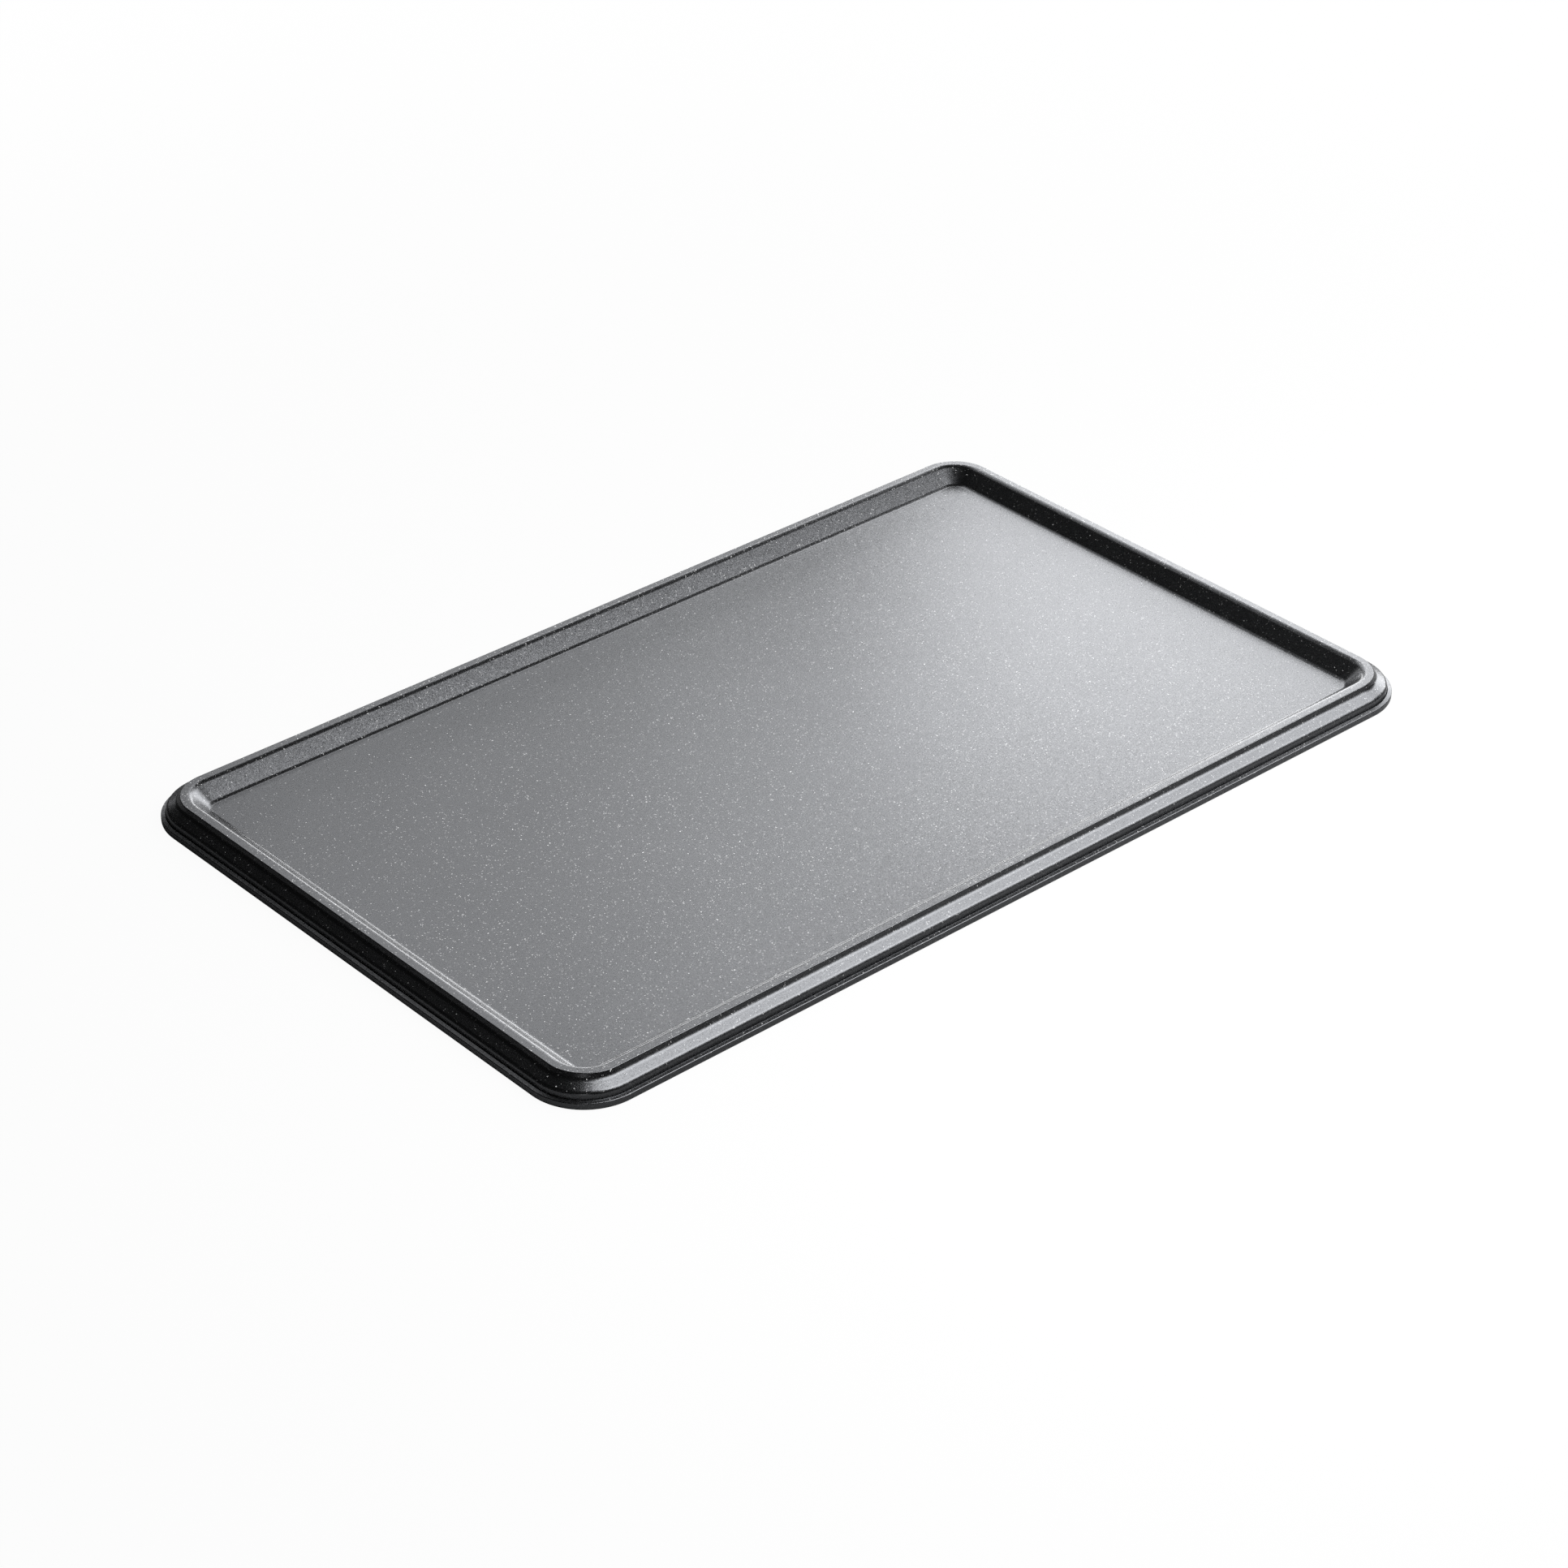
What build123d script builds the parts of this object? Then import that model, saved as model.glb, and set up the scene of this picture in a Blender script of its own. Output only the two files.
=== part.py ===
from build123d import *
import os
from math import cos, radians, tan

# A shallow baking sheet with an air gap under it. A pressed pan sheet, with a
# recessed floor and a stepped rim, is closed from below by a flat base sheet
# whose edge is turned up and hemmed over the pan's lip. Millimetres, +Z up, the
# long side along X, and the origin at the middle of the face it stands on.

# The whole sheet
overall_length = 454.0
overall_width = 279.4
overall_height = 11.0

# The rim in plan: how far its outermost band stands out from the middle of the
# crown, and the radius of the crown's middle line round each corner
rim_reach = 9.56
crown_corner_radius = 16.09

# Gauge of the two sheets, and the play between them in the hem
pan_gauge = 0.4
base_gauge = 0.4
hem_clearance = 0.05

# The recess: floor below the crown, slope of its wall from the level, the bend
# at its foot, and the strip of level floor inside that bend
recess_depth = 6.8
wall_slope = 42.6
floor_fillet_radius = 2.9
floor_border = 0.5

# The crown: the level strip on top of the rim and the bends at its two edges
crown_flat = 2.5
crown_inner_radius = 3.6
crown_outer_inside_radius = 0.15

# Heights on the outside of the rim, each as a share of the overall height: the
# foot of the step, the edge of the flange, and the outer corner of the hem
step_foot_share = 0.79
flange_edge_share = 0.573
hem_corner_share = 0.29

# The steep step down from the crown, and the bend at its foot
step_slope = 64.0
step_foot_radius = 3.0

# The shoulder where the sloping flange turns down, and the bend at its foot
shoulder_radius = 2.2
shoulder_width = 0.24
crease_radius = 0.25

# The base sheet's edge: turned up at the foot of the rim, then in over the lip
base_bend_radius = 1.25
hem_inside_radius = 0.05
hem_width = 1.71
hem_slope = 8.0


def bend_setback(radius, turn):
    """Distance from a sharp corner to where its bend begins."""
    return radius * tan(radians(turn) / 2)


# Outer radii of the two sharp bends
crown_outer_radius = pan_gauge + crown_outer_inside_radius
hem_radius = base_gauge + hem_inside_radius

# Crown middle line in plan
crown_length = overall_length - 2 * rim_reach
crown_width = overall_width - 2 * rim_reach

# Places across the rim, outward from the crown's middle line
crown_inner_corner = crown_flat / 2 + bend_setback(crown_inner_radius, wall_slope)
floor_corner = crown_inner_corner + recess_depth / tan(radians(wall_slope))
floor_edge = floor_corner + bend_setback(floor_fillet_radius, wall_slope) + floor_border
crown_outer_corner = crown_flat / 2 + bend_setback(crown_outer_radius, step_slope)
step_drop = overall_height * (1 - step_foot_share)
step_foot = crown_outer_corner + step_drop / tan(radians(step_slope))
hem_edge = rim_reach - hem_width
crease = hem_edge - crease_radius
flange_edge = crease - shoulder_width
lip_edge = rim_reach - base_gauge - hem_clearance
base_flat_edge = rim_reach - base_bend_radius - floor_border

# Heights across the rim
floor_top = overall_height - recess_depth
step_foot_height = overall_height * step_foot_share
flange_edge_height = overall_height * flange_edge_share
hem_corner_height = overall_height * hem_corner_share

# The hem rises inward at a steady slope, and the lip lies under it
hem_rise = tan(radians(hem_slope))
lip_depth = (base_gauge + hem_clearance) / cos(radians(hem_slope))
hem_edge_height = hem_corner_height + hem_width * hem_rise
crease_height = hem_corner_height + (rim_reach - crease) * hem_rise - lip_depth
lip_edge_height = hem_corner_height + (rim_reach - lip_edge) * hem_rise - lip_depth


def plan_path(length, width, radius):
    """Straight-sided, round-cornered ring in plan, from the middle of the +X end."""
    long_run = length - 2 * radius
    short_run = width - 2 * radius
    with BuildLine(Plane.XY) as path:
        run = Line((length / 2, 0), (length / 2, short_run / 2))
        for next_run in (long_run, short_run, long_run, short_run / 2):
            corner = JernArc(start=run @ 1, tangent=run % 1, radius=radius, arc_size=90)
            run = PolarLine(corner @ 1, next_run, direction=corner % 1)
    return path.wire()


def inner_face(corners, bends, gauge):
    """Corners and bends of a sheet's inner face, to the right of its outer face."""
    points = [Vector(*corner) for corner in corners]
    runs = [(end - start).normalized() for start, end in zip(points, points[1:])]
    squares = [Vector(run.Y, -run.X) for run in runs]
    inner_corners = [points[0] + squares[0] * gauge]
    inner_bends = []
    for index, bend in enumerate(bends):
        before = squares[index]
        after = squares[index + 1]
        mitre = (before + after) / (1 + before.dot(after))
        inner_corners.append(points[index + 1] + mitre * gauge)
        turns_left = runs[index].cross(runs[index + 1]).Z > 0
        inner_bends.append(bend + gauge if turns_left else bend - gauge)
    inner_corners.append(points[-1] + squares[-1] * gauge)
    return inner_corners, inner_bends


def sheet_outline(corners, bends, gauge):
    """Closed outline of a bent sheet's section, from its outer face inward."""
    far_corners, far_bends = inner_face(corners, bends, gauge)
    outer = FilletPolyline(*corners, radius=bends)
    inner = FilletPolyline(*far_corners, radius=far_bends)
    Line(outer @ 0, inner @ 0)
    Line(outer @ 1, inner @ 1)


# Both sheets' edge sections stand on the +X end, with X outward and Y up, and
# run right round the crown's middle line
rim_plane = Plane((crown_length / 2, 0, 0), x_dir=(1, 0, 0), z_dir=(0, -1, 0))
rim_path = plan_path(crown_length, crown_width, crown_corner_radius)

# The pan sheet: recessed floor, sloping wall, crown, step, flange, shoulder, lip
pan_corners = [
    (-floor_edge, floor_top),
    (-floor_corner, floor_top),
    (-crown_inner_corner, overall_height),
    (crown_outer_corner, overall_height),
    (step_foot, step_foot_height),
    (flange_edge, flange_edge_height),
    (crease, crease_height),
    (lip_edge, lip_edge_height),
]
pan_bends = [
    floor_fillet_radius,
    crown_inner_radius,
    crown_outer_radius,
    step_foot_radius,
    shoulder_radius,
    crease_radius,
]

with BuildPart() as pan_sheet:
    with BuildSketch(rim_plane):
        with BuildLine():
            sheet_outline(pan_corners, pan_bends, pan_gauge)
        make_face()
    sweep(path=rim_path)
    with BuildSketch(Plane.XY.offset(floor_top)):
        RectangleRounded(
            crown_length - 2 * floor_edge,
            crown_width - 2 * floor_edge,
            crown_corner_radius - floor_edge,
        )
    extrude(amount=-pan_gauge)

# The base sheet: flat underside, upturned band, and the hem over the pan's lip
base_corners = [
    (hem_edge, hem_edge_height),
    (rim_reach, hem_corner_height),
    (rim_reach, 0),
    (base_flat_edge, 0),
]
base_bends = [hem_radius, base_bend_radius]

with BuildPart() as base_sheet:
    with BuildSketch(rim_plane):
        with BuildLine():
            sheet_outline(base_corners, base_bends, base_gauge)
        make_face()
    sweep(path=rim_path)
    with BuildSketch(Plane.XY):
        RectangleRounded(
            crown_length + 2 * base_flat_edge,
            crown_width + 2 * base_flat_edge,
            crown_corner_radius + base_flat_edge,
        )
    extrude(amount=base_gauge)

pan_sheet.part.label = "pan_sheet"
base_sheet.part.label = "base_sheet"

os.makedirs("parts", exist_ok=True)
export_step(pan_sheet.part, "parts/pan_sheet.step")
export_step(base_sheet.part, "parts/base_sheet.step")
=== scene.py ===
from math import ceil, cos, pi, sin, tan

import bpy
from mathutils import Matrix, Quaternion, Vector


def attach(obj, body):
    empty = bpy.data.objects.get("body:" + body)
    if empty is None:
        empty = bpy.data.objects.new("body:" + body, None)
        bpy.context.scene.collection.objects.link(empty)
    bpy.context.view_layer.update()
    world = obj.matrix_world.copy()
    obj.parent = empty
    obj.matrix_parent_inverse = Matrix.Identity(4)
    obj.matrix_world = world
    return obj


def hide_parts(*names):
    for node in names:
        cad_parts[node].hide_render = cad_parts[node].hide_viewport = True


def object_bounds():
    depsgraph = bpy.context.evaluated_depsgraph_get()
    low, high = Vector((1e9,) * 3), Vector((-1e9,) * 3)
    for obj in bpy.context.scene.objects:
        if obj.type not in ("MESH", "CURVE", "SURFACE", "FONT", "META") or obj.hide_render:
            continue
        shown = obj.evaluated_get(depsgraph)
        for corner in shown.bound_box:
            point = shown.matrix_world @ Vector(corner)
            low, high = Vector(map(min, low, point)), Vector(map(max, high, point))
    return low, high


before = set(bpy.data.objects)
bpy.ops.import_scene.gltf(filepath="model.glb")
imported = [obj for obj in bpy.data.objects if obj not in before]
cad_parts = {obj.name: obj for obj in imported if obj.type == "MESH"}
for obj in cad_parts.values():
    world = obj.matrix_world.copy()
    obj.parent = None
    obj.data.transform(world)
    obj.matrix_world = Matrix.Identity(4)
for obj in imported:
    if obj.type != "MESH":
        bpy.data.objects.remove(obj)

cad_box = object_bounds()

# Units: the scene is in metres, and the sheet's sizes are written in millimetres
MM = 0.001
DEG = pi / 180

# The whole sheet, from the frame
lowest, highest = cad_box
overall_length = highest.x - lowest.x
overall_width = highest.y - lowest.y
overall_height = highest.z - lowest.z

# The rim in plan: how far its outermost band stands out from the middle of the
# crown, and the radius of the crown's middle line round each corner
rim_reach = 9.56 * MM
crown_corner_radius = 16.09 * MM

# Gauge of the two sheets, the play between them, and the rounding of cut edges
pan_gauge = 0.4 * MM
base_gauge = 0.4 * MM
hem_clearance = 0.05 * MM
cut_edge_radius = 0.06 * MM

# The recess and the crown
recess_depth = 6.8 * MM
wall_slope = 42.6 * DEG
floor_fillet_radius = 2.9 * MM
floor_border = 0.5 * MM
crown_flat = 2.3 * MM
crown_inner_radius = 3.6 * MM
crown_outer_inside_radius = 0.02 * MM

# Heights on the outside of the rim, each as a share of the overall height
step_foot_share = 0.79
flange_edge_share = 0.573
hem_corner_share = 0.29

# The step, the shoulder, and the bend at its foot
step_slope = 64.0 * DEG
step_foot_radius = 3.0 * MM
shoulder_radius = 2.2 * MM
shoulder_width = 0.24 * MM
crease_radius = 0.25 * MM

# The base sheet's edge: turned up at the foot of the rim, then in over the lip
base_bend_radius = 1.25 * MM
hem_inside_radius = 0.05 * MM
hem_width = 1.71 * MM
hem_slope = 14.0 * DEG

# Fineness of the meshes: the turn of one facet of a bend, the facets of each
# rounded cut edge, and those round each corner of the sheet
bend_facet = 4.0 * DEG
edge_facets = 4
corner_facets = 48


def bend_setback(radius, turn):
    """Distance from a sharp corner to where its bend begins."""
    return radius * tan(turn / 2)


# Outer radii of the two sharp bends
crown_outer_radius = pan_gauge + crown_outer_inside_radius
hem_radius = base_gauge + hem_inside_radius

# Crown middle line in plan
crown_length = overall_length - 2 * rim_reach
crown_width = overall_width - 2 * rim_reach

# Places across the rim, outward from the crown's middle line
crown_inner_corner = crown_flat / 2 + bend_setback(crown_inner_radius, wall_slope)
floor_corner = crown_inner_corner + recess_depth / tan(wall_slope)
floor_edge = floor_corner + bend_setback(floor_fillet_radius, wall_slope) + floor_border
crown_outer_corner = crown_flat / 2 + bend_setback(crown_outer_radius, step_slope)
step_drop = overall_height * (1 - step_foot_share)
step_foot = crown_outer_corner + step_drop / tan(step_slope)
hem_edge = rim_reach - hem_width
crease = hem_edge - crease_radius
flange_edge = crease - shoulder_width
lip_edge = rim_reach - base_gauge - hem_clearance
base_flat_edge = rim_reach - base_bend_radius - floor_border

# Heights across the rim
floor_top = overall_height - recess_depth
step_foot_height = overall_height * step_foot_share
flange_edge_height = overall_height * flange_edge_share
hem_corner_height = overall_height * hem_corner_share

# The hem rises inward at a steady slope, and the lip lies under it
hem_rise = tan(hem_slope)
lip_depth = (base_gauge + hem_clearance) / cos(hem_slope)
hem_edge_height = hem_corner_height + hem_width * hem_rise
crease_height = hem_corner_height + (rim_reach - crease) * hem_rise - lip_depth
lip_edge_height = hem_corner_height + (rim_reach - lip_edge) * hem_rise - lip_depth


# Sections: each sample is a point, across the rim and up, and the normal there

def bent_line(corners, bends, side):
    """Samples along a line with round bends; side is 1 for normals to its left."""
    points = [Vector(corner) for corner in corners]
    runs = [(end - start).normalized() for start, end in zip(points, points[1:])]
    squares = [Vector((-run.y, run.x)) * side for run in runs]
    samples = [(points[0], squares[0])]
    for index, radius in enumerate(bends):
        before, after = squares[index], squares[index + 1]
        turn = before.angle(after)
        bulge = -side if before.x * after.y > before.y * after.x else side
        middle = (before + after) / (1 + before.dot(after))
        centre = points[index + 1] - bulge * middle * radius
        facets = max(2, ceil(turn / bend_facet))
        for step in range(facets + 1):
            passed = turn * step / facets
            normal = (before * sin(turn - passed) + after * sin(passed)) / sin(turn)
            samples.append((centre + bulge * normal * radius, normal))
    samples.append((points[-1], squares[-1]))
    return samples


def sheet_section(corners, bends, gauge, side):
    """The outer face of a bent sheet, round its cut edge, and back along the inner."""
    near_face = bent_line(corners, bends, side)
    end, outward = near_face[-1]
    run = Vector((outward.y, -outward.x)) * side
    half_gauge = gauge / 2
    middle = end - outward * half_gauge
    flat = half_gauge - cut_edge_radius
    near_face[-1] = (end - run * cut_edge_radius, outward)
    edge = []
    for face in (1, -1):
        corner = middle + outward * flat * face - run * cut_edge_radius
        for step in range(edge_facets + 1):
            angle = pi / 2 * (step / edge_facets if face > 0 else 1 - step / edge_facets)
            normal = outward * cos(angle) * face + run * sin(angle)
            edge.append((corner + normal * cut_edge_radius, normal))
    far_face = [(place - normal * gauge, -normal) for place, normal in reversed(near_face)]
    section = near_face + edge[1:-1] + far_face
    return section if side > 0 else section[::-1]


def ring_stations():
    """Centre and outward direction at each station round the crown's corners."""
    stations = []
    half_length = crown_length / 2 - crown_corner_radius
    half_width = crown_width / 2 - crown_corner_radius
    for quarter, (side_x, side_y) in enumerate(((1, 1), (-1, 1), (-1, -1), (1, -1))):
        centre = Vector((side_x * half_length, side_y * half_width, 0))
        for step in range(corner_facets + 1):
            angle = pi / 2 * (quarter + step / corner_facets)
            stations.append((centre, Vector((cos(angle), sin(angle), 0))))
    return stations


def swept_sheet(name, section):
    """A closed mesh: the section swept round the rim, with its two end rings filled."""
    stations = ring_stations()
    vertices, normals, faces = [], [], []
    for centre, outward in stations:
        for place, normal in section:
            reach = crown_corner_radius + place.x
            vertices.append(centre + outward * reach + Vector((0, 0, place.y)))
            normals.append(outward * normal.x + Vector((0, 0, normal.y)))
    count = len(section)
    for station in range(len(stations)):
        here = station * count
        there = (station + 1) % len(stations) * count
        for index in range(count - 1):
            faces.append((here + index, here + index + 1, there + index + 1, there + index))
    first_ring = [station * count for station in range(len(stations))]
    last_ring = [start + count - 1 for start in first_ring]
    faces.append(tuple(first_ring))
    faces.append(tuple(reversed(last_ring)))
    mesh = bpy.data.meshes.new(name)
    mesh.from_pydata(vertices, [], faces)
    mesh.shade_smooth()
    mesh.normals_split_custom_set_from_vertices(normals)
    piece = bpy.data.objects.new(name, mesh)
    bpy.context.collection.objects.link(piece)
    return piece


# The pan sheet: recessed floor, sloping wall, crown, step, flange, shoulder, lip
pan_corners = [
    (-floor_edge, floor_top),
    (-floor_corner, floor_top),
    (-crown_inner_corner, overall_height),
    (crown_outer_corner, overall_height),
    (step_foot, step_foot_height),
    (flange_edge, flange_edge_height),
    (crease, crease_height),
    (lip_edge, lip_edge_height),
]
pan_bends = [
    floor_fillet_radius,
    crown_inner_radius,
    crown_outer_radius,
    step_foot_radius,
    shoulder_radius,
    crease_radius,
]

# The base sheet: flat underside, upturned band, and the hem over the pan's lip
base_corners = [
    (base_flat_edge, 0),
    (rim_reach, 0),
    (rim_reach, hem_corner_height),
    (hem_edge, hem_edge_height),
]
base_bends = [base_bend_radius, hem_radius]

pan = swept_sheet("pan_skin", sheet_section(pan_corners, pan_bends, pan_gauge, 1))
base = swept_sheet("base_skin", sheet_section(base_corners, base_bends, base_gauge, -1))

for piece, node, slot in (
    (pan, "pan_sheet", "non_stick_coating"),
    (base, "base_sheet", "coated_base"),
):
    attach(piece, "root")
    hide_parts(node)


# Materials

class Nodes:
    """Short ways to add and join the nodes of one material or world."""

    def __init__(self, owner):
        owner.use_nodes = True
        self.tree = owner.node_tree
        self.tree.nodes.clear()

    def add(self, kind, settings=None, **inputs):
        """A new node with its settings, its sockets fed by values or other sockets."""
        node = self.tree.nodes.new(kind)
        for name, value in (settings or {}).items():
            setattr(node, name, value)
        for name, value in inputs.items():
            self.feed(node.inputs[name.replace("_", " ")], value)
        return node

    def feed(self, socket, value):
        """Link another socket to this one, or write a plain value on it."""
        if isinstance(value, bpy.types.NodeSocket):
            self.tree.links.new(value, socket)
        else:
            socket.default_value = value

    def math(self, operation, first, second):
        """The result of a Math node on two numbers."""
        node = self.add("ShaderNodeMath", {"operation": operation})
        self.feed(node.inputs[0], first)
        self.feed(node.inputs[1], second)
        return node.outputs[0]

    def vector_math(self, operation, first, second=None, **inputs):
        """The result of a Vector Math node, a number where the operation gives one."""
        node = self.add("ShaderNodeVectorMath", {"operation": operation}, **inputs)
        self.feed(node.inputs[0], first)
        if second is not None:
            self.feed(node.inputs[1], second)
        gives_number = operation in ("DOT_PRODUCT", "LENGTH")
        return node.outputs["Value" if gives_number else "Vector"]

    def tilted(self, normal, lean, amount):
        """A normal turned by a given amount toward a random colour's direction."""
        mid_grey = (0.5, 0.5, 0.5)
        offset = self.vector_math("SUBTRACT", lean, mid_grey)
        scaled = self.vector_math("SCALE", offset, Scale=amount)
        return self.vector_math("NORMALIZE", self.vector_math("ADD", normal, scaled))

    def noise(self, place, scale, detail):
        """Noise from 0 to 1, with about as many blobs in a metre as its scale."""
        node = self.add("ShaderNodeTexNoise", Vector=place, Scale=scale, Detail=detail)
        return node.outputs["Fac"]

    def ramp(self, value, span=(0.0, 1.0), levels=(0.0, 1.0)):
        """A smooth change between two levels as the value goes over a span."""
        low, high = span
        start, end = levels
        smooth = {"interpolation_type": "SMOOTHSTEP"}
        node = self.add("ShaderNodeMapRange", smooth, Value=value, From_Min=low, From_Max=high)
        self.feed(node.inputs["To Min"], start)
        self.feed(node.inputs["To Max"], end)
        return node.outputs[0]


# The coating's colour, and how its roughness follows the grain
coating_colour = (0.138, 0.141, 0.148)
grain_span = (0.3, 0.7)
roughness_levels = (0.24, 0.32)

# Orange peel and flakes: the peel's height, how far the flakes and the few standing
# ones lean, and which random numbers make a flake stand
peel_height = 0.04 * MM
flake_lean = 0.05
sparkle_lean = 0.9
sparkle_span = (0.92, 0.99)

# Wear: the width of an edge, how sharp it has to be, where the clouds let it wear,
# and how much lighter it gets
edge_radius = 0.4 * MM
edge_span = (0.99, 0.90)
wear_span = (0.45, 0.65)
wear_levels = (1.0, 1.5)

# Shades from flake to flake and over a few centimetres
flake_levels = (0.98, 1.02)
mottle_span = (0.3, 0.7)
mottle_levels = (0.985, 1.015)


def coating(name):
    """Dark non-stick coating on metal: flakes, sparkles, orange peel and worn edges."""
    material = bpy.data.materials.new(name)
    nodes = Nodes(material)
    place = nodes.add("ShaderNodeTexCoord").outputs["Object"]
    cloud = nodes.noise(place, scale=24.0, detail=4.0)
    grain = nodes.noise(place, scale=1900.0, detail=3.0)
    flakes = nodes.add("ShaderNodeTexVoronoi", Vector=place, Scale=2500.0)
    lean = flakes.outputs["Color"]
    shade = nodes.add("ShaderNodeSeparateColor", Color=lean).outputs["Green"]
    pick = nodes.add("ShaderNodeTexWhiteNoise", Vector=flakes.outputs["Position"])

    # Each flake lies at its own small tilt
    bump = nodes.add("ShaderNodeBump", Strength=0.3, Distance=peel_height, Height=grain)
    peel = bump.outputs["Normal"]
    flake_normal = nodes.tilted(peel, lean, flake_lean)

    # A few flakes stand up through a clear top layer and sparkle
    sparkle = nodes.ramp(pick.outputs["Value"], sparkle_span)
    sparkle_normal = nodes.tilted(peel, lean, sparkle_lean)

    # The coating is rubbed thin along sharp edges
    rounded = nodes.add("ShaderNodeBevel", {"samples": 4}, Radius=edge_radius).outputs[0]
    face_normal = nodes.add("ShaderNodeNewGeometry").outputs["Normal"]
    facing = nodes.vector_math("DOT_PRODUCT", rounded, face_normal)
    edge = nodes.ramp(facing, edge_span)
    rubbed = nodes.math("MULTIPLY", edge, nodes.ramp(cloud, wear_span))
    wear = nodes.ramp(rubbed, levels=wear_levels)

    # Colour varies a little from flake to flake and over a few centimetres
    dull = nodes.ramp(shade, levels=flake_levels)
    mottle = nodes.ramp(cloud, mottle_span, mottle_levels)
    level = nodes.math("MULTIPLY", nodes.math("MULTIPLY", dull, mottle), wear)

    shader = nodes.add(
        "ShaderNodeBsdfPrincipled",
        Base_Color=nodes.vector_math("SCALE", coating_colour, Scale=level),
        Metallic=1.0,
        Roughness=nodes.ramp(grain, grain_span, roughness_levels),
        Normal=flake_normal,
        Coat_Weight=sparkle,
        Coat_Roughness=0.25,
        Coat_IOR=2.1,
        Coat_Normal=sparkle_normal,
        Sheen_Weight=0.01,
        Sheen_Roughness=0.3,
    )
    nodes.add("ShaderNodeOutputMaterial", Surface=shader.outputs[0])
    return material


non_stick = coating("non_stick")
pan.data.materials.append(non_stick)
base.data.materials.append(non_stick)

# Floor: a pale ground that the camera sees as near white, with the sheet's soft
# shadow. Mirror rays see it as lit ground, with a little white added far off.
floor_half = 6.0
near_reach = 0.30
far_reach = 1.20
camera_white = (0.955, 1.0)
mirror_white = 0.2
ground_levels = (0.28, 0.85)


def pale_floor(name):
    """Ground and white glow, mixed by the kind of ray and how far off it lands."""
    material = bpy.data.materials.new(name)
    nodes = Nodes(material)
    place = nodes.add("ShaderNodeTexCoord").outputs["Object"]
    path = nodes.add("ShaderNodeLightPath").outputs
    camera_ray = path["Is Camera Ray"]
    mirror_ray = nodes.math("MAXIMUM", path["Is Glossy Ray"], path["Is Transmission Ray"])
    distance = nodes.vector_math("LENGTH", place)
    far_off = nodes.ramp(distance, (near_reach, far_reach))
    camera_share = nodes.math("MULTIPLY", camera_ray, nodes.ramp(far_off, levels=camera_white))
    far_share = nodes.math("MULTIPLY", far_off, mirror_white)
    mirror_share = nodes.math("MULTIPLY", mirror_ray, far_share)
    share = nodes.math("MAXIMUM", camera_share, mirror_share)
    grey = nodes.ramp(camera_ray, levels=ground_levels)
    ground = nodes.add("ShaderNodeBsdfDiffuse", Color=grey)
    glow = nodes.add("ShaderNodeEmission", Strength=1.0)
    mix = nodes.add("ShaderNodeMixShader", Fac=share)
    for socket, shader in zip(mix.inputs[1:], (ground, glow)):
        nodes.feed(socket, shader.outputs[0])
    nodes.add("ShaderNodeOutputMaterial", Surface=mix.outputs[0])
    return material


floor_mesh = bpy.data.meshes.new("studio_floor")
floor_corners = [Vector((x, y, 0)) * floor_half for x, y in ((-1, -1), (1, -1), (1, 1), (-1, 1))]
floor_mesh.from_pydata(floor_corners, [], [(0, 1, 2, 3)])
studio_floor = bpy.data.objects.new("studio_floor", floor_mesh)
bpy.context.collection.objects.link(studio_floor)
floor_mesh.materials.append(pale_floor("studio_floor"))


# Lights

def area_lamp(name, width, height, radiance):
    """A rectangular lamp of a given radiance, which the camera doesn't see."""
    lamp = bpy.data.lights.new(name, "AREA")
    lamp.shape = "RECTANGLE"
    lamp.size = width
    lamp.size_y = height
    lamp.energy = radiance * width * height * pi
    holder = bpy.data.objects.new(name, lamp)
    holder.rotation_mode = "QUATERNION"
    holder.visible_camera = False
    bpy.context.collection.objects.link(holder)
    return holder


def aim(thing, target, toward, distance):
    """Put a lamp or camera off its target in a direction, and turn it to face it."""
    thing.location = target + toward * distance
    thing.rotation_mode = "QUATERNION"
    thing.rotation_quaternion = (-toward).to_track_quat("-Z", "Y")


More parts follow.
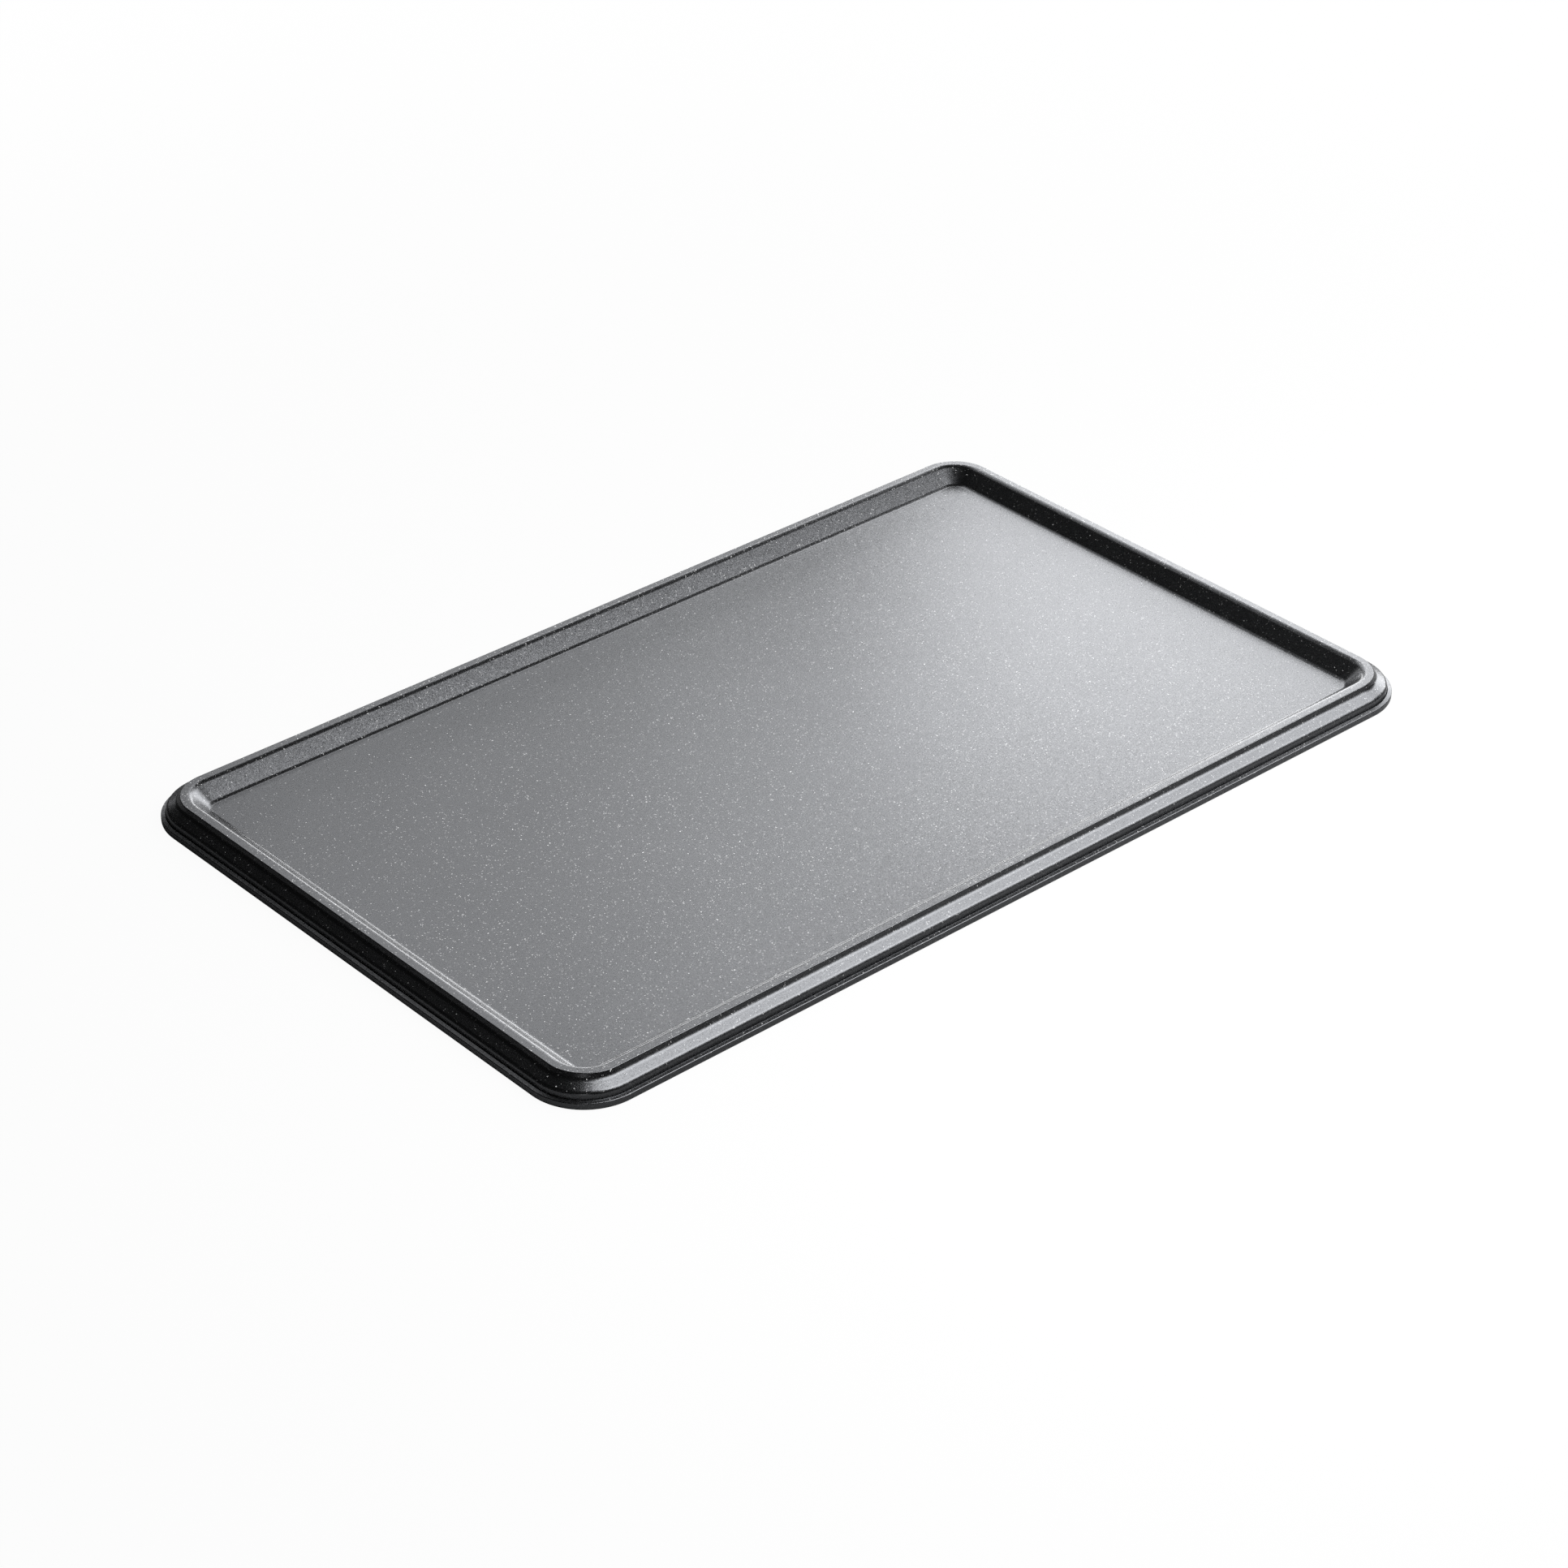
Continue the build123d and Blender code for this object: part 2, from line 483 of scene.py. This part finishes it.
# Soft lamps round the sheet: azimuth from +X to +Y and elevation in degrees, then
# distance, width, height and radiance
for name, azimuth, elevation, distance, width, height, radiance in (
    ("right_bank", 19, 22, 1.5, 1.30, 0.95, 3.0),
    ("right_core", 36, 27, 1.45, 0.38, 0.34, 1.8),
    ("right_low", 4, 16, 1.45, 0.80, 0.50, 2.3),
    ("back_low", 50, 5, 1.5, 0.90, 0.34, 5.0),
    ("back_left", 82, 18, 1.5, 0.50, 0.40, 1.2),
    ("back_bright", 48, 36, 1.5, 0.20, 0.45, 1.25),
    ("back_dim", 60, 38, 1.5, 0.54, 0.66, 1.6),
    ("back_high", 90, 52, 1.5, 0.45, 0.25, 0.9),
    ("front_right", -50, 30, 1.3, 0.5, 0.45, 1.0),
    ("front_low", -54, 8, 1.5, 0.6, 0.25, 0.35),
    ("behind_camera", -137, 7, 2.0, 0.5, 0.2, 2.0),
):
    turn = azimuth * DEG
    rise = elevation * DEG
    toward = Vector((cos(turn) * cos(rise), sin(turn) * cos(rise), sin(rise)))
    aim(area_lamp(name, width, height, radiance), Vector((0, 0, 0)), toward, distance)

# One more hangs level, off the right end of the near right side, and shines down
strip = area_lamp("overhead_strip", width=0.86, height=0.36, radiance=4.4)
strip.location = (0.22, -0.32, 0.38)
strip.rotation_quaternion = Quaternion()

# World: white to the camera, and a faint fill for everything else
world_fill = 0.015
world = bpy.data.worlds.new("studio")
bpy.context.scene.world = world
world_nodes = Nodes(world)
world_path = world_nodes.add("ShaderNodeLightPath")
world_strength = world_nodes.ramp(world_path.outputs["Is Camera Ray"], levels=(world_fill, 1.0))
sky = world_nodes.add("ShaderNodeBackground", Color=(1, 1, 1, 1), Strength=world_strength)
world_nodes.add("ShaderNodeOutputWorld", Surface=sky.outputs[0])

# Camera, at the photograph's viewing angle
camera_azimuth = -41.54 * DEG
camera_elevation = 32.20 * DEG
camera_distance = 1632 * MM
camera_target = Vector((-29.5 * MM, -28.8 * MM, overall_height))
camera_back = Vector((
    sin(camera_azimuth) * cos(camera_elevation),
    -cos(camera_azimuth) * cos(camera_elevation),
    sin(camera_elevation),
))
camera_data = bpy.data.cameras.new("camera")
camera_data.lens = 93.6
camera_data.sensor_width = 36
camera = bpy.data.objects.new("camera", camera_data)
aim(camera, camera_target, camera_back, camera_distance)
bpy.context.collection.objects.link(camera)
bpy.context.scene.camera = camera

bpy.context.scene.view_settings.view_transform = "Standard"
